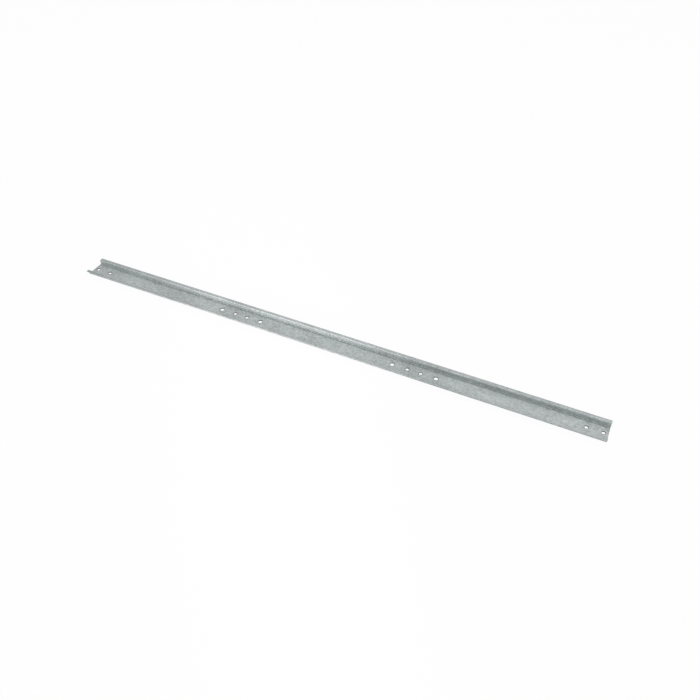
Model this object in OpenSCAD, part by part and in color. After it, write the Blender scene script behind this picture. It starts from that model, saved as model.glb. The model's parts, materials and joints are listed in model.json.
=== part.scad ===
// Top-hat mounting rail, TH 35-7.5 section, cold-rolled from one strip of
// galvanised steel. The rail lies on its web with the open side up: X runs
// along the rail, Y across it, and Z up from the underside of the web.

/* [Section] */
// Overall width across the two lips
rail_width = 35; // [30:0.5:45]
// Width over the outside of the two walls
hat_width = 27; // [22:0.5:29]
// Overall height, from the underside of the web to the top of the lips
rail_height = 7.5; // [5:0.5:15]
// Thickness of the steel strip
strip_thickness = 1; // [0.8:0.1:1.5]
// Inside radius of the four rolled bends
bend_radius = 0.8; // [0.4:0.1:1.2]
// Rounding of the strip's two long edges
edge_radius = 0.2; // [0.1:0.05:0.3]

/* [Length] */
// Length of the cut rail
rail_length = 735; // [400:5:2000]

/* [End holes] */
// Distance from each end to the first hole
end_hole_inset = 6; // [5:0.5:15]
// Spacing of the two holes at each end
end_hole_pitch = 20; // [10:0.5:40]
// Diameter of the end holes
end_hole_d = 4.5; // [3:0.1:8]

/* [Hole groups] */
// Distance between the centres of the two groups
group_spacing = 250; // [120:5:280]
// Spacing of the small pair in each group
small_hole_pitch = 18; // [10:0.5:30]
// Diameter of the small holes
small_hole_d = 4.5; // [3:0.1:8]
// Spacing of the large pair in each group
large_hole_pitch = 59; // [45:0.5:80]
// Diameter of the large holes
large_hole_d = 5.5; // [3:0.1:9]

/* [Hidden] */
$fn = 96;
punch_overrun = 1; // how far a punch passes each face of the web
outer_bend = bend_radius + strip_thickness;
wall_inside = hat_width / 2 - strip_thickness;
lower_bend_y = wall_inside - bend_radius;
lower_bend_z = outer_bend;
upper_bend_y = hat_width / 2 + bend_radius;
upper_bend_z = rail_height - outer_bend;
zinc_grey = [0.68, 0.71, 0.71];

// Square that covers the quadrant dir_y and dir_z point to.
module quadrant(dir_y, dir_z) {
    translate([dir_y < 0 ? -outer_bend : 0, dir_z < 0 ? -outer_bend : 0])
        square(outer_bend);
}

// Quarter turn of the strip about the origin, in one quadrant.
module bend(dir_y, dir_z) {
    intersection() {
        difference() {
            circle(r = outer_bend);
            circle(r = bend_radius);
        }
        quadrant(dir_y, dir_z);
    }
}

// Flat stretch of strip along Y that ends in a rounded free edge.
module lip(from_y, to_y) {
    translate([from_y, 0])
        square([to_y - edge_radius - from_y, strip_thickness]);
    translate([from_y, edge_radius])
        square([to_y - from_y, strip_thickness - 2 * edge_radius]);
    for (z = [edge_radius, strip_thickness - edge_radius])
        translate([to_y - edge_radius, z])
            circle(r = edge_radius);
}

// Section from the centre line to one free edge.
module half_section() {
    square([lower_bend_y, strip_thickness]);
    translate([lower_bend_y, lower_bend_z])
        bend(1, -1);
    translate([wall_inside, lower_bend_z])
        square([strip_thickness, upper_bend_z - lower_bend_z]);
    translate([upper_bend_y, upper_bend_z])
        bend(-1, 1);
    translate([0, rail_height - strip_thickness])
        lip(upper_bend_y, rail_width / 2);
}

module section() {
    half_section();
    mirror([1, 0])
        half_section();
}

// Round hole punched down through the web at x.
module punch(x, d) {
    translate([x, 0, -punch_overrun])
        cylinder(d = d, h = strip_thickness + 2 * punch_overrun);
}

module end_holes() {
    first_x = rail_length / 2 - end_hole_inset;
    for (side = [-1, 1], x = [first_x, first_x - end_hole_pitch])
        punch(side * x, end_hole_d);
}

module hole_groups() {
    for (group = [-1, 1], side = [-1, 1]) {
        centre = group * group_spacing / 2;
        punch(centre + side * small_hole_pitch / 2, small_hole_d);
        punch(centre + side * large_hole_pitch / 2, large_hole_d);
    }
}

module rail() {
    color(zinc_grey)
        difference() {
            translate([-rail_length / 2, 0, 0])
                rotate([90, 0, 90])
                    linear_extrude(rail_length)
                        section();
            end_holes();
            hole_groups();
        }
}

rail();
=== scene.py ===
"""The looks of a galvanised top-hat mounting rail, modelled around its packed CAD frame."""

import json
import math

import bmesh
import bpy
from bpy.props import FloatProperty, FloatVectorProperty, IntProperty, PointerProperty
from mathutils import Matrix, Vector


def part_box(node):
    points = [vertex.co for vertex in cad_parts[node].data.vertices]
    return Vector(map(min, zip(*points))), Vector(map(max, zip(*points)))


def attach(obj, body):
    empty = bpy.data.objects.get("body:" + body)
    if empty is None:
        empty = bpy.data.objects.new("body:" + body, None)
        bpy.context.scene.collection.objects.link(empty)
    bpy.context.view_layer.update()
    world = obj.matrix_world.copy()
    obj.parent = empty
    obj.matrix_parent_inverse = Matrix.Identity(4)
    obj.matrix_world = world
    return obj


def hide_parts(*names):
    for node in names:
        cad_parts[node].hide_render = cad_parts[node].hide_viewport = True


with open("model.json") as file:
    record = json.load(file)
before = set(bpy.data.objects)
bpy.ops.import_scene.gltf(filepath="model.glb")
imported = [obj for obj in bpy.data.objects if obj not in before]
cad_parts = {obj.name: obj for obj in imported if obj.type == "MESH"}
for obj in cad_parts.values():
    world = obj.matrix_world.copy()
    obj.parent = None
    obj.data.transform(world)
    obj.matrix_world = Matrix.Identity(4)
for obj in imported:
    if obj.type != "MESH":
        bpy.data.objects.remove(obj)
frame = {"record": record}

bl_info = {
    "name": "Top-hat mounting rail",
    "version": (1, 0, 0),
    "blender": (4, 5, 0),
    "location": "View3D > Sidebar > Rail",
    "description": "Rolls, punches and finishes a galvanised mounting rail on its packed frame",
    "category": "Object",
}

MM = 0.001
NODE = "rail"
BODY = "root"
FRAME_LOW, FRAME_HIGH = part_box(NODE)
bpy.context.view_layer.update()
RAIL_LENGTH = FRAME_HIGH.x - FRAME_LOW.x
RAIL_HEIGHT = FRAME_HIGH.z - FRAME_LOW.z
QUARTER_TURN = math.radians(90)
SHARP_ANGLE = math.radians(40)

# How near two vertices are merged, and how near counts as lying at a place or in a hole.
MERGE_GAP = 0.001 * MM
PLACE_GAP = 0.01 * MM
HOLE_GAP = 0.1 * MM

# The strip's material slots; the zinc coat is slot 0.
SHEARED = 1
PUNCHED = 2

# The vertex attribute that holds how much darker the zinc is made at the rims and slit edges, by wear and
# by painted shade.
WEAR_AND_SHADE = "wear_and_shade"

# The zinc coat: how far rolling drew its crystals and patches out along the rail, how soft the
# crystals' borders are, how much they stand out in the relief beside the grain, and how far the
# roughness swings from patch to patch.
ROLLING_STRETCH = 1.6
CRYSTAL_BLUR = 0.8
CRYSTAL_RELIEF = 0.5
COAT_ROUGHNESS_SWING = 0.15
COAT_BUMP = {"Strength": 0.3, "Distance": 0.01 * MM}

# Torn steel: its streaks as a share of the coat's grain, its darkest and palest tone as shares
# of its colour, and its least roughness with what the streaks add to it.
TEAR_SHARE = 0.5
TEAR_TONES = (0.6, 1.4)
TEAR_ROUGHNESS = (0.35, 0.2)
TEAR_BUMP = {"Strength": 0.5, "Distance": 0.03 * MM}


# ---------------------------------------------------------------- settings


class RailShape(bpy.types.PropertyGroup):
    """Sizes of the rolled strip that the frame's box does not give."""

    strip_thickness: FloatProperty(
        name="Strip thickness", description="Thickness of the steel strip",
        default=1.0 * MM, min=0.5 * MM, max=2 * MM, unit="LENGTH", precision=5)
    hat_width: FloatProperty(
        name="Hat width", description="Width over the outside of the two walls",
        default=27 * MM, min=22 * MM, max=29 * MM, unit="LENGTH", precision=5)
    bend_radius: FloatProperty(
        name="Bend radius", description="Inside radius of the rolled bends",
        default=0.8 * MM, min=0.2 * MM, max=1.5 * MM, unit="LENGTH", precision=5)
    edge_radius: FloatProperty(
        name="Edge radius", description="Rounding of the slit and cut edges",
        default=0.2 * MM, min=0.02 * MM, max=0.4 * MM, unit="LENGTH", precision=5)
    rim_radius: FloatProperty(
        name="Rim radius", description="Rounding of the rims of the holes",
        default=0.15 * MM, min=0.02 * MM, max=0.3 * MM, unit="LENGTH", precision=5)
    collar_width: FloatProperty(
        name="Collar width", description="Width of the ring of faces kept round each hole",
        default=1.2 * MM, min=0.3 * MM, max=1.5 * MM, unit="LENGTH", precision=5)
    panel_half_length: FloatProperty(
        name="Punched panel", description="Half the length of the web panel made round each hole",
        default=5 * MM, min=4 * MM, max=5.5 * MM, unit="LENGTH", precision=5)
    facet_length: FloatProperty(
        name="Facet length", description="Longest face along the plain stretches of the rail",
        default=12 * MM, min=4 * MM, max=60 * MM, unit="LENGTH", precision=5)
    bend_steps: IntProperty(
        name="Bend steps", description="Faces across each rolled bend", default=12, min=4, max=32)
    hole_steps: IntProperty(
        name="Hole steps", description="Faces round each hole, a multiple of eight",
        default=64, min=16, max=128, step=8)
    edge_steps: IntProperty(
        name="Edge steps", description="Faces across each rounded edge", default=3, min=1, max=8)


class ZincFinish(bpy.types.PropertyGroup):
    """Colours and texture of the zinc coat and of the bare steel, with the painted shade laid on them."""

    zinc_dark: FloatVectorProperty(
        name="Dark zinc", description="Colour of the darkest spots of the coat",
        subtype="COLOR", size=3, default=(0.20, 0.225, 0.225), min=0, max=1)
    zinc_light: FloatVectorProperty(
        name="Light zinc", description="Colour of the palest spots of the coat",
        subtype="COLOR", size=3, default=(0.64, 0.685, 0.685), min=0, max=1)
    sheared_steel: FloatVectorProperty(
        name="Sheared steel", description="Colour of the bright bare steel along the slit and cut edges",
        subtype="COLOR", size=3, default=(0.50, 0.52, 0.52), min=0, max=1)
    # Painted shade: the steel on the hole walls is near black, as the walls lie in shade.
    punched_steel_painted_shade: FloatVectorProperty(
        name="Punched steel", description="Colour of the torn steel on the walls of the holes",
        subtype="COLOR", size=3, default=(0.04, 0.04, 0.04), min=0, max=1)
    metal_share: FloatProperty(
        name="Metal share", description="How much of the zinc shows as metal and not as dull oxide",
        default=0.3, min=0, max=1, subtype="FACTOR")
    roughness: FloatProperty(
        name="Roughness", description="Mean roughness of the zinc",
        default=0.45, min=0.05, max=1, subtype="FACTOR")
    crystal_size: FloatProperty(
        name="Crystal size", description="Size of the zinc crystals",
        default=2.8 * MM, min=1 * MM, max=20 * MM, unit="LENGTH", precision=5)
    crystal_tone: FloatProperty(
        name="Crystal tone", description="How far the tone differs from crystal to crystal",
        default=0.16, min=0, max=1, subtype="FACTOR")
    patch_size: FloatProperty(
        name="Patch size", description="Size of the soft patches of the coat",
        default=1.8 * MM, min=1 * MM, max=40 * MM, unit="LENGTH", precision=5)
    patch_tone: FloatProperty(
        name="Patch tone", description="How far the tone differs from patch to patch",
        default=1.1, min=0, max=2, subtype="FACTOR")
    cloud_size: FloatProperty(
        name="Cloud size", description="Size of the pale clouds in the coat",
        default=60 * MM, min=10 * MM, max=200 * MM, unit="LENGTH", precision=5)
    cloud_tone: FloatProperty(
        name="Cloud tone", description="How far the clouds differ from the rest",
        default=0.5, min=0, max=1, subtype="FACTOR")
    cloud_shift: FloatVectorProperty(
        name="Cloud shift", description="Moves the clouds over the rail",
        subtype="TRANSLATION", size=3, default=(0.3, 0.1, 0), unit="LENGTH")
    grain_size: FloatProperty(
        name="Grain size", description="Size of the fine grain of the coat",
        default=0.6 * MM, min=0.1 * MM, max=3 * MM, unit="LENGTH", precision=5)
    grain_tone: FloatProperty(
        name="Grain tone", description="How far the tone differs from grain to grain",
        default=0.3, min=0, max=1, subtype="FACTOR")
    # Wear and painted shade: a darker band round the holes, painting their shaded outlines, and along the
    # slit and cut edges.
    wear_and_shade_width: FloatProperty(
        name="Worn width", description="Width of the dulled band along the rims and slit edges",
        default=1.3 * MM, min=0.1 * MM, max=4 * MM, unit="LENGTH", precision=5)
    rim_wear_and_shade: FloatProperty(
        name="Rim wear", description="How much darker the zinc is on the rim of a hole",
        default=0.7, min=0, max=1, subtype="FACTOR")
    edge_wear_and_shade: FloatProperty(
        name="Edge wear", description="How much darker the zinc is on a slit or cut edge",
        default=0.2, min=0, max=1, subtype="FACTOR")
    # Painted shade: dark lines along the two lips, deepest at the left end where the lips get less light.
    shade_line_places: FloatVectorProperty(
        name="Roller lines", description="Where across the rail the rollers left a dark line on each lip",
        size=2, default=(-16.0 * MM, 14.2 * MM), unit="LENGTH", precision=5)
    line_width: FloatProperty(
        name="Line width", description="Reach of a roller line to each side",
        default=1.0 * MM, min=0.1 * MM, max=3 * MM, unit="LENGTH", precision=5)
    shade_line_depth: FloatProperty(
        name="Line depth", description="How much darker the zinc is on a roller line at the left end",
        default=0.45, min=0, max=1, subtype="FACTOR")
    # Painted shade: the zinc round the inside of the two lower bends is darkened, where the walls' feet
    # lie in shade.
    foot_shade_width: FloatProperty(
        name="Crazed width", description="Reach of the fine cracks round the inside of the lower bends",
        default=2.3 * MM, min=0.5 * MM, max=6 * MM, unit="LENGTH", precision=5)
    foot_shade_depth: FloatProperty(
        name="Crazed depth", description="How much darker the crazed zinc is",
        default=0.13, min=0, max=1, subtype="FACTOR")


class Studio(bpy.types.PropertyGroup):
    """The floor, the light and the camera."""

    floor_color: FloatVectorProperty(
        name="Floor colour", description="Colour of the floor under the rail",
        subtype="COLOR", size=3, default=(0.9, 0.9, 0.9), min=0, max=1)
    floor_size: FloatProperty(
        name="Floor size", description="Side of the square floor",
        default=12, min=2, max=40, unit="LENGTH")
    shadow_share: FloatProperty(
        name="Shadow share", description="Share of the floor's look that comes from light and shadow",
        default=0.05, min=0, max=1, subtype="FACTOR")
    ambient: FloatProperty(
        name="Ambient light", description="Strength of the white surroundings as a light",
        default=0.66, min=0, max=1, subtype="FACTOR")
    back_power: FloatProperty(
        name="Back softbox", description="Power of the softbox over and behind the rail",
        default=3.8, min=0, max=100, unit="POWER")
    front_power: FloatProperty(
        name="Front softbox", description="Power of the softbox in front of the rail",
        default=8.5, min=0, max=100, unit="POWER")
    spot_power: FloatProperty(
        name="Spot", description="Power of the low spot that picks out the far wall",
        default=104, min=0, max=2000, unit="POWER")
    spot_cone: FloatProperty(
        name="Spot cone", description="Full angle of the spot's cone",
        default=math.radians(11.5), min=math.radians(2), max=math.pi, subtype="ANGLE")
    spot_blend: FloatProperty(
        name="Spot blend", description="Share of the cone that fades out",
        default=0.3, min=0, max=1, subtype="FACTOR")
    lens: FloatProperty(
        name="Lens", description="Focal length on a 36 mm sensor",
        default=38.84, min=20, max=200, unit="CAMERA")
    roll: FloatProperty(
        name="Roll", description="Turn of the camera about its own axis",
        default=math.radians(2.05), subtype="ANGLE")


# ------------------------------------------------------------- shader maths


class Socket:
    """An output socket that takes part in Python arithmetic, one Math node a step."""

    def __init__(self, graph, output):
        self.graph = graph
        self.output = output

    def _math(self, operation, first, second):
        """Makes a Math node and gives its output."""
        return self.graph.node("ShaderNodeMath", {"operation": operation}, {0: first, 1: second})

    def __add__(self, other):
        return self._math("ADD", self, other)

    def __radd__(self, other):
        return self._math("ADD", other, self)

    def __sub__(self, other):
        return self._math("SUBTRACT", self, other)

    def __rsub__(self, other):
        return self._math("SUBTRACT", other, self)

    def __mul__(self, other):
        return self._math("MULTIPLY", self, other)

    def __rmul__(self, other):
        return self._math("MULTIPLY", other, self)

    def max(self, other):
        return self._math("MAXIMUM", self, other)

    def abs(self):
        return self._math("ABSOLUTE", self, 0.0)


class Graph:
    """Adds nodes to a material's or the world's tree."""

    def __init__(self, owner):
        owner.use_nodes = True
        self.tree = owner.node_tree
        self.tree.nodes.clear()

    def node(self, kind, settings=None, inputs=None, output=0):
        """Makes a node, sets it up, feeds its sockets and gives one of its outputs."""
        made = self.tree.nodes.new(kind)
        for name, value in (settings or {}).items():
            setattr(made, name, value)
        for name, value in (inputs or {}).items():
            self.feed(made.inputs[name], value)
        return Socket(self, made.outputs[output]) if made.outputs else None

    def feed(self, socket, value):
        """Links a socket to another, or sets its number or colour."""
        if isinstance(value, Socket):
            self.tree.links.new(value.output, socket)
        elif hasattr(socket.default_value, "__len__") and len(socket.default_value) == 4:
            socket.default_value = (*value, 1.0)
        else:
            socket.default_value = value

    def mix_colors(self, factor, first, second):
        """The first colour at 0 and the second at 1; 0, 6, 7 and 2 are a Mix node's colour sockets."""
        return self.node(
            "ShaderNodeMix", {"data_type": "RGBA"}, {0: factor, 6: first, 7: second}, output=2)

    def noise(self, place, size, detail=2.0):
        """A noise whose features are about size metres across."""
        return self.node(
            "ShaderNodeTexNoise", {}, {"Vector": place, "Scale": 1 / size, "Detail": detail})

    def axis(self, place, name):
        """One coordinate of a place."""
        return self.node("ShaderNodeSeparateXYZ", {}, {0: place}, output=name)


# ---------------------------------------------------------------- materials


def zinc_tone(graph, place, finish):
    """The coat's tone from 0, dark, to 1, pale, with its patches and its relief."""
    along = graph.node(
        "ShaderNodeMapping", {}, {"Vector": place, "Scale": (1 / ROLLING_STRETCH, 1, 1)})
    drifted = graph.node(
        "ShaderNodeMapping", {}, {"Vector": place, "Location": finish.cloud_shift})
    crystals = graph.node(
        "ShaderNodeTexVoronoi", {"feature": "SMOOTH_F1"},
        {"Vector": along, "Scale": 1 / finish.crystal_size, "Smoothness": CRYSTAL_BLUR},
        output="Color")
    crystal = graph.node("ShaderNodeSeparateColor", {}, {0: crystals})
    patch = graph.noise(along, finish.patch_size, detail=3)
    cloud = graph.noise(drifted, finish.cloud_size)
    grain = graph.noise(place, finish.grain_size, detail=3)
    tone = 0.5 + finish.crystal_tone * (crystal - 0.5) + finish.patch_tone * (patch - 0.5)
    tone = tone + finish.cloud_tone * (cloud - 0.5) + finish.grain_tone * (grain - 0.5)
    return tone, patch, grain + CRYSTAL_RELIEF * crystal


def wall_foot_painted_shade(graph, place, shape, finish):
    """Painted shade at the walls' feet: 1 along the inside of the two lower bends and 0 beyond the
    shade's width.
    """
    bend_place = shape.hat_width / 2 - 2 * shape.strip_thickness
    aside = (graph.axis(place, "Y").abs() - bend_place) * (1 / finish.foot_shade_width)
    above = (graph.axis(place, "Z") - shape.strip_thickness) * (1 / finish.foot_shade_width)
    return (1 - aside * aside - above * above).max(0.0)


def lip_painted_shade_lines(graph, place, finish):
    """Painted shade: up to 1 along dark lines on the lips, deepest at the left end and fading to the
    right end.
    """
    across = graph.axis(place, "Y")
    lines = 0.0
    for shade_line_place in finish.shade_line_places:
        aside = (across - shade_line_place).abs() * (1 / finish.line_width)
        lines = (1 - aside).max(lines)
    return lines * (0.5 - graph.axis(place, "X") * (1 / RAIL_LENGTH))


def zinc_material(shape, finish):
    """Hot-dip zinc gone dull, darker at the rims and edges from wear and painted shade, with painted
    shade at the walls' feet and along the lips.
    """
    material = bpy.data.materials.new("zinc_coat")
    graph = Graph(material)
    place = graph.node("ShaderNodeTexCoord", output="Object")
    tone, patch, relief = zinc_tone(graph, place, finish)
    coat = graph.mix_colors(tone, finish.zinc_dark, finish.zinc_light)
    # The coat is darkened by wear and painted shade at the rims, painted shade at the walls' feet and
    # painted shade lines on the lips.
    worn_and_shaded = graph.node("ShaderNodeAttribute", {"attribute_name": WEAR_AND_SHADE}, output="Fac")
    darkened = (1 - worn_and_shaded) * (1 - finish.foot_shade_depth * wall_foot_painted_shade(graph, place, shape, finish))
    darkened = darkened * (1 - finish.shade_line_depth * lip_painted_shade_lines(graph, place, finish))
    color = graph.mix_colors(darkened, (0, 0, 0), coat)
    roughness = finish.roughness + COAT_ROUGHNESS_SWING * (patch - 0.5)
    bump = graph.node("ShaderNodeBump", {}, {**COAT_BUMP, "Height": relief})
    shader = graph.node("ShaderNodeBsdfPrincipled", {}, {
        "Base Color": color, "Metallic": finish.metal_share, "Roughness": roughness, "Normal": bump})
    graph.node("ShaderNodeOutputMaterial", {}, {"Surface": shader})
    return material


def bare_material(name, steel, finish):
    """Bare steel with torn streaks, where the strip was slit, cut or punched; on the hole walls the
    near-black colour is painted shade.
    """
    dark, pale = ([share * channel for channel in steel] for share in TEAR_TONES)
    least, swing = TEAR_ROUGHNESS
    material = bpy.data.materials.new(name)
    graph = Graph(material)
    place = graph.node("ShaderNodeTexCoord", output="Object")
    tearing = graph.noise(place, TEAR_SHARE * finish.grain_size, detail=4)
    color = graph.mix_colors(tearing, dark, pale)
    bump = graph.node("ShaderNodeBump", {}, {**TEAR_BUMP, "Height": tearing})
    shader = graph.node("ShaderNodeBsdfPrincipled", {}, {
        "Base Color": color, "Metallic": 1.0, "Roughness": least + swing * tearing, "Normal": bump})
    graph.node("ShaderNodeOutputMaterial", {}, {"Surface": shader})
    return material


def floor_material(studio):
    """White to the eye and in reflections, with a share of real light that keeps the shadow."""
    material = bpy.data.materials.new("studio_floor")
    graph = Graph(material)
    plain = graph.node("ShaderNodeBsdfDiffuse", {}, {"Color": studio.floor_color})
    white = graph.node("ShaderNodeEmission", {}, {"Color": (1, 1, 1), "Strength": 1.0})
    seen = seen_ray(graph) * (1 - studio.shadow_share)
    shown = graph.node("ShaderNodeMixShader", {}, {0: seen, 1: plain, 2: white})
    graph.node("ShaderNodeOutputMaterial", {}, {"Surface": shown})
    return material


def seen_ray(graph):
    """1 for rays that show a surface, straight or through metal and glass, and 0 for the rest."""
    camera, glossy, transmission = (
        graph.node("ShaderNodeLightPath", output=name)
        for name in ("Is Camera Ray", "Is Glossy Ray", "Is Transmission Ray"))
    return camera.max(glossy).max(transmission)


# ------------------------------------------------------------------- strip


def punched_holes():
    """(centre x, radius) of every hole in the web, from the frame's screw patterns, in order."""
    holes = []
    for mount in frame["record"]["mounts"]:
        if mount["kind"] != "bolt_pattern":
            continue
        sizes = mount["dims"]
        for side in (-1, 1):
            x = mount["pos_m"][0] + side * sizes["spacing_x_mm"] * MM / 2
            holes.append((x, sizes["hole_r_mm"] * MM))
    return sorted(holes)


def edges_at(bm, axis, place):
    """The boundary edges that lie at one place along an axis, 0 for X and 1 for Y."""
    return [e for e in bm.edges
            if e.is_boundary and all(abs(v.co[axis] - place) < PLACE_GAP for v in e.verts)]


def pull_edges(bm, edges, move):
    """Extrudes edges by a vector and gives the far edges."""
    pulled = bmesh.ops.extrude_edge_only(bm, edges=edges)["geom"]
    verts = [g for g in pulled if isinstance(g, bmesh.types.BMVert)]
    bmesh.ops.translate(bm, verts=verts, vec=move)
    return [g for g in pulled if isinstance(g, bmesh.types.BMEdge) and g.is_boundary
            and all(v in verts for v in g.verts)]


def grow_ring(bm, edges, centre, place):
    """Extrudes a ring of edges, puts each new vertex where place says and gives the new ring."""
    grown = bmesh.ops.extrude_edge_only(bm, edges=edges)["geom"]
    verts = [g for g in grown if isinstance(g, bmesh.types.BMVert)]
    for v in verts:
        v.co = centre + place(v.co - centre)
    return [g for g in grown if isinstance(g, bmesh.types.BMEdge)
            and all(v in verts for v in g.verts)]


def punched_panel(bm, x, radius, shape, half_width):
    """A rectangle of web round one hole, as a collar and a ring of faces."""
    centre = Vector((x, 0, 0))
    ring = bmesh.ops.create_circle(
        bm, segments=shape.hole_steps, radius=radius, matrix=Matrix.Translation(centre))["verts"]

    def on_collar(outward):
        return outward.normalized() * (radius + shape.collar_width)

    def on_border(outward):
        outward = outward / max(abs(outward.x), abs(outward.y))
        return Vector((outward.x * shape.panel_half_length, outward.y * half_width, 0))

    rim = list({e for v in ring for e in v.link_edges})
    grow_ring(bm, grow_ring(bm, rim, centre, on_collar), centre, on_border)


def punched_web(bm, holes, shape, half_width):
    """The flat web, panel by panel, joined by plain stretches and carried to both ends."""
    for x, radius in holes:
        punched_panel(bm, x, radius, shape, half_width)
    reach = shape.panel_half_length
    for (left, _), (right, _) in zip(holes, holes[1:]):
        facing = edges_at(bm, 0, left + reach) + edges_at(bm, 0, right - reach)
        bridged = bmesh.ops.bridge_loops(bm, edges=facing)["edges"]
        cuts = math.ceil((right - left - 2 * reach) / shape.facet_length) - 1
        if cuts:
            bmesh.ops.subdivide_edges(bm, edges=bridged, cuts=cuts, use_grid_fill=False)
    pull_edges(bm, edges_at(bm, 0, holes[0][0] - reach),
               (FRAME_LOW.x - holes[0][0] + reach, 0, 0))
    pull_edges(bm, edges_at(bm, 0, holes[-1][0] + reach),
               (FRAME_HIGH.x - holes[-1][0] - reach, 0, 0))


def roll_bend(bm, edges, centre, turn, steps):
    """Rolls edges through a quarter turn about an axis along X and gives the far edges."""
    geom = edges + list({v for e in edges for v in e.verts})
    last = bmesh.ops.spin(
        bm, geom=geom, cent=centre, axis=(1, 0, 0), angle=turn, steps=steps)["geom_last"]
    return [g for g in last if isinstance(g, bmesh.types.BMEdge)]


def roll_side(bm, side, shape, half_width):
    """Rolls one side of the web up into its wall and out into its lip."""
    inner, outer = shape.bend_radius, shape.bend_radius + shape.strip_thickness
    wall_y = side * shape.hat_width / 2
    edges = edges_at(bm, 1, side * half_width)
    edges = roll_bend(bm, edges, (0, side * half_width, outer), side * QUARTER_TURN, shape.bend_steps)
    edges = pull_edges(bm, edges, (0, 0, RAIL_HEIGHT - 2 * outer))
    centre = (0, wall_y + side * inner, RAIL_HEIGHT - outer)
    edges = roll_bend(bm, edges, centre, -side * QUARTER_TURN, shape.bend_steps)
    pull_edges(bm, edges, (0, side * (FRAME_HIGH.y - shape.hat_width / 2 - inner), 0))


def thicken(bm, thickness):
    """Gives the sheet its thickness and returns the faces along its slit, cut and punched edges."""
    bmesh.ops.remove_doubles(bm, verts=bm.verts[:], dist=MERGE_GAP)
    bmesh.ops.recalc_face_normals(bm, faces=bm.faces[:])
    bm.faces.ensure_lookup_table()
    if bm.faces[0].normal.z > 0:
        bmesh.ops.reverse_faces(bm, faces=bm.faces[:])
    sheet = set(bm.faces)
    borders = [e for e in bm.edges if e.is_boundary]
    bmesh.ops.solidify(bm, geom=bm.faces[:], thickness=thickness)
    return {f for e in borders for f in e.link_faces if f not in sheet}


def in_hole(face, holes):
    """Whether a face lies on the wall of a hole."""
    middle = face.calc_center_median()
    return any(math.hypot(middle.x - x, middle.y) < radius + HOLE_GAP for x, radius in holes)


def round_edges(bm, sheared, shape):
    """Rounds both rims of every sheared face, the rims of the holes less than the rest."""
    rims = {e for f in sheared for e in f.edges if len(sheared.intersection(e.link_faces)) == 1}
    punched = {e for e in rims if any(f.material_index == PUNCHED for f in e.link_faces)}
    for edges, radius in ((punched, shape.rim_radius), (rims - punched, shape.edge_radius)):
        bmesh.ops.bevel(
            bm, geom=list(edges), offset=radius, offset_type="OFFSET", affect="EDGES",
            segments=shape.edge_steps, profile=0.5, material=-1)


def mark_wear_and_shade(bm, holes, finish):
    """Stores how much darker the zinc is at each vertex, by wear and painted shade: most on a rim, none
    beyond the band's width.
    """
    wear_and_shade = bm.verts.layers.float.new(WEAR_AND_SHADE)
    for v in bm.verts:
        rim_gap = min(math.hypot(v.co.x - x, v.co.y) - radius for x, radius in holes)
        edge_gap = min(FRAME_HIGH.x - abs(v.co.x), FRAME_HIGH.y - abs(v.co.y))
        v[wear_and_shade] = max(
            depth * max(0.0, 1 - max(0.0, gap) / finish.wear_and_shade_width)
            for gap, depth in ((rim_gap, finish.rim_wear_and_shade), (edge_gap, finish.edge_wear_and_shade)))


def add_piece(name, bm, materials):
    """Makes a shaded object of a bmesh, in the row frame."""
    mesh = bpy.data.meshes.new(name)
    bm.to_mesh(mesh)
    bm.free()
    mesh.shade_smooth()
    mesh.set_sharp_from_angle(angle=SHARP_ANGLE)
    for material in materials:
        mesh.materials.append(material)
    piece = bpy.data.objects.new(name, mesh)
    bpy.context.scene.collection.objects.link(piece)
    return piece


class RAIL_OT_rolled_strip(bpy.types.Operator):
    """Roll and punch the strip and give it its zinc"""

    bl_idname = "rail.rolled_strip"
    bl_label = "Rolled strip"

    def execute(self, context):
        shape = context.scene.rail_shape
        finish = context.scene.rail_finish
        half_width = shape.hat_width / 2 - shape.bend_radius - shape.strip_thickness
        holes = punched_holes()
        bm = bmesh.new()
        punched_web(bm, holes, shape, half_width)
        for side in (-1, 1):
            roll_side(bm, side, shape, half_width)
        sheared = thicken(bm, shape.strip_thickness)
        for face in sheared:
            face.material_index = PUNCHED if in_hole(face, holes) else SHEARED
        round_edges(bm, sheared, shape)
        mark_wear_and_shade(bm, holes, finish)
        strip = add_piece("rolled_strip", bm, [
            zinc_material(shape, finish),
            bare_material("sheared_steel", finish.sheared_steel, finish),
            bare_material("punched_steel_painted_shade", finish.punched_steel_painted_shade, finish)])
        weighting = strip.modifiers.new("flat_faces_stay_flat", "WEIGHTED_NORMAL")
        weighting.keep_sharp = True
        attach(strip, BODY)
        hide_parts(NODE)
        return {"FINISHED"}


# ------------------------------------------------------------------- stage

# Places and sizes in metres, but the sensor in millimetres.
FLOOR_GAP = 0.1 * MM
CAMERA_PLACE = Vector((0.3191, -0.6658, 0.6548))
CAMERA_TARGET = Vector((0.0358, 0.0023, 0.0))
SOFTBOX_TARGET = Vector((0.05, 0.0, 0.0))
SOFTBOX_SIZE = (1.2, 0.5)
BACK_PLACE = Vector((0.0, 0.75, 1.5))
FRONT_PLACE = Vector((-0.6, -1.4, 1.3))
SPOT_PLACE = Vector((0.803, -1.269, 0.256))
SPOT_TARGET = Vector((-0.085, 0.0, 0.0))
SPOT_RADIUS = 0.08
SPOT_COLOR = (1.0, 0.95, 0.95)
SENSOR_WIDTH = 36
NEAR_CLIP = 0.01


def aim(thing, place, target, roll=0.0):
    """Puts a lamp or camera at place, looking at target."""
    turn = (target - place).to_track_quat("-Z", "Y").to_matrix() @ Matrix.Rotation(roll, 3, "Z")
    thing.matrix_world = Matrix.Translation(place) @ turn.to_4x4()


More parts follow.
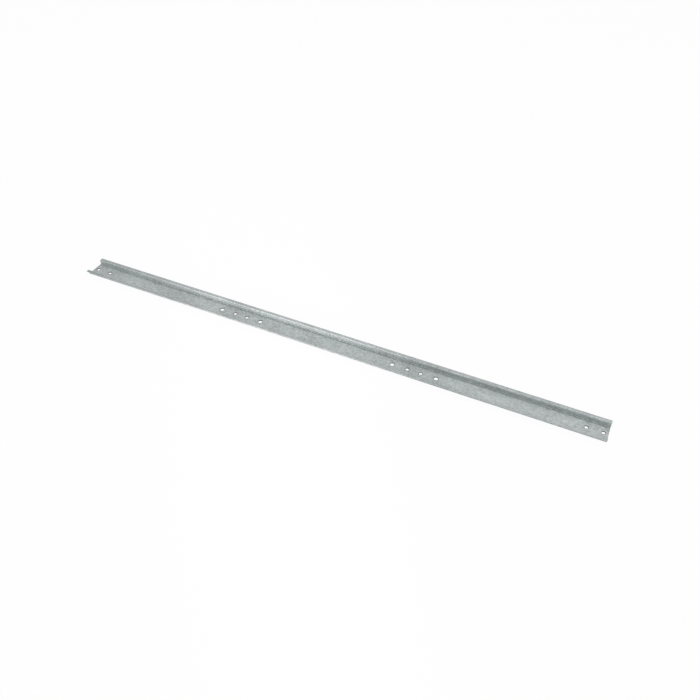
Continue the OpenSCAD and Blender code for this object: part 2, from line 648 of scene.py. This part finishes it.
def add_lamp(name, kind, place, target, power):
    """Hangs a lamp at place, aimed at target, and gives its settings."""
    lamp = bpy.data.lights.new(name, kind)
    lamp.energy = power
    thing = bpy.data.objects.new(name, lamp)
    bpy.context.scene.collection.objects.link(thing)
    aim(thing, place, target)
    return lamp


def add_softbox(name, place, power):
    """A wide soft lamp at place, aimed at the rail."""
    lamp = add_lamp(name, "AREA", place, SOFTBOX_TARGET, power)
    lamp.shape = "RECTANGLE"
    lamp.size, lamp.size_y = SOFTBOX_SIZE


class RAIL_OT_studio(bpy.types.Operator):
    """Lay the floor, hang the lamps and set up the camera"""

    bl_idname = "rail.studio"
    bl_label = "Studio"

    def execute(self, context):
        scene = context.scene
        studio = scene.rail_studio
        bm = bmesh.new()
        bmesh.ops.create_grid(bm, x_segments=1, y_segments=1, size=studio.floor_size / 2,
                              matrix=Matrix.Translation((0, 0, FRAME_LOW.z - FLOOR_GAP)))
        floor = add_piece("studio_floor", bm, [floor_material(studio)])
        add_softbox("back_softbox", BACK_PLACE, studio.back_power)
        add_softbox("front_softbox", FRONT_PLACE, studio.front_power)
        spot = add_lamp("wall_spot", "SPOT", SPOT_PLACE, SPOT_TARGET, studio.spot_power)
        spot.color = SPOT_COLOR
        spot.spot_size = studio.spot_cone
        spot.spot_blend = studio.spot_blend
        spot.shadow_soft_size = SPOT_RADIUS
        world = bpy.data.worlds.new("studio_world")
        scene.world = world
        graph = Graph(world)
        strength = studio.ambient + (1 - studio.ambient) * seen_ray(graph)
        sky = graph.node("ShaderNodeBackground", {}, {"Color": (1, 1, 1), "Strength": strength})
        graph.node("ShaderNodeOutputWorld", {}, {"Surface": sky})
        camera = bpy.data.objects.new("camera", bpy.data.cameras.new("camera"))
        camera.data.lens = studio.lens
        camera.data.sensor_width = SENSOR_WIDTH
        camera.data.clip_start = NEAR_CLIP
        scene.collection.objects.link(camera)
        aim(camera, CAMERA_PLACE, CAMERA_TARGET, studio.roll)
        scene.camera = camera
        scene.view_settings.view_transform = "Standard"
        return {"FINISHED"}


class RAIL_PT_panel(bpy.types.Panel):
    """The steps that make the rail, in order, and the sizes and colours they use"""

    bl_idname = "RAIL_PT_panel"
    bl_label = "Mounting rail"
    bl_space_type = "VIEW_3D"
    bl_region_type = "UI"
    bl_category = "Rail"

    def draw(self, context):
        for operator in OPERATORS:
            self.layout.operator(operator.bl_idname)
        for name, group in SETTINGS.items():
            box = self.layout.box()
            box.label(text=group.__doc__)
            for setting in group.__annotations__:
                box.prop(getattr(context.scene, name), setting)


OPERATORS = (RAIL_OT_rolled_strip, RAIL_OT_studio)
SETTINGS = {"rail_shape": RailShape, "rail_finish": ZincFinish, "rail_studio": Studio}
CLASSES = (*SETTINGS.values(), *OPERATORS, RAIL_PT_panel)


def register():
    """Registers the classes and gives the scene its settings."""
    for cls in CLASSES:
        bpy.utils.register_class(cls)
    for name, group in SETTINGS.items():
        setattr(bpy.types.Scene, name, PointerProperty(type=group))


def unregister():
    """Takes the settings and the classes away again."""
    for name in SETTINGS:
        delattr(bpy.types.Scene, name)
    for cls in reversed(CLASSES):
        bpy.utils.unregister_class(cls)


def main():
    """Makes the rail and its studio."""
    register()
    bpy.ops.rail.rolled_strip()
    bpy.ops.rail.studio()


if __name__ == "__main__":
    main()
